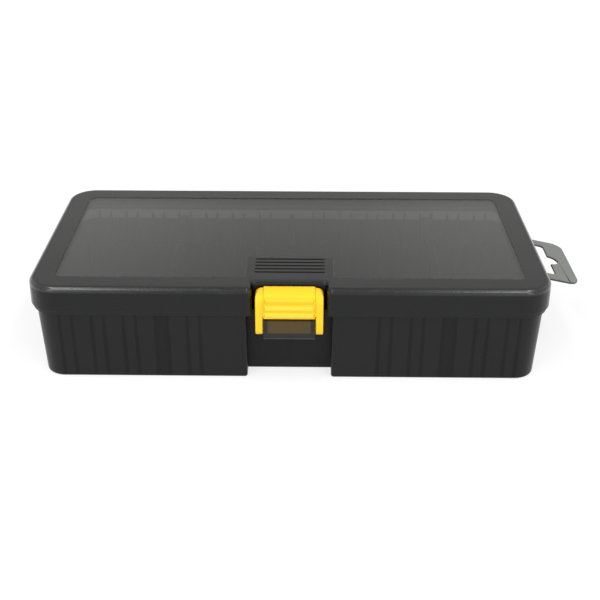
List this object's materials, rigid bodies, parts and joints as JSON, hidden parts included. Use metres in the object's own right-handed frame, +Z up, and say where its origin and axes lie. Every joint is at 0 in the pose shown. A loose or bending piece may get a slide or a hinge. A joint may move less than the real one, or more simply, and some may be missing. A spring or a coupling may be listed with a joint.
{
  "type": "lure box",
  "caption": "Flat hinged lure box with a windowed lid, a front snap latch, a hang tab at one end and plates that divide the slotted tray.",
  "frame": {"origin": "middle of the bottom face that the box stands on", "axes": "+X along the length towards the hang tab, +Y from the latch to the hinges, +Z up"},
  "size_m": [0.2278, 0.1083, 0.0428],
  "materials": {
    "tray_smoke": "smoky translucent, glossy",
    "lid_smoke": "smoky translucent window in a fine textured border",
    "latch_yellow": "opaque yellow, satin gloss",
    "tab_frosted": "pale grey, frosted",
    "pin_steel": "drawn steel wire",
    "divider_smoke": "smoky translucent"
  },
  "bodies": {
    "root": {"tray": "tray_smoke", "hinge_pin_left": "pin_steel", "hinge_pin_right": "pin_steel", "divider_front_left": "divider_smoke", "divider_front_right": "divider_smoke", "divider_rear_left": "divider_smoke", "divider_rear_right": "divider_smoke"},
    "lid": {"lid": "lid_smoke"},
    "latch": {"latch": "latch_yellow"},
    "hang_tab": {"hang_tab": "tab_frosted"}
  },
  "joints": [
    {"name": "lid_hinge", "type": "hinge", "parent": "root", "child": "lid", "pos_m": [0, 0.05335, 0.031], "axis": [-1, 0, 0], "range_deg": [0, 180]},
    {"name": "latch_hinge", "type": "hinge", "parent": "root", "child": "latch", "pos_m": [0, -0.04785, 0.0238], "axis": [1, 0, 0], "range_deg": [0, 170]},
    {"name": "hang_tab_hinge", "type": "hinge", "parent": "root", "child": "hang_tab", "pos_m": [0.1047, 0, 0.0329], "axis": [0, 1, 0], "range_deg": [-72, 78]}
  ]
}
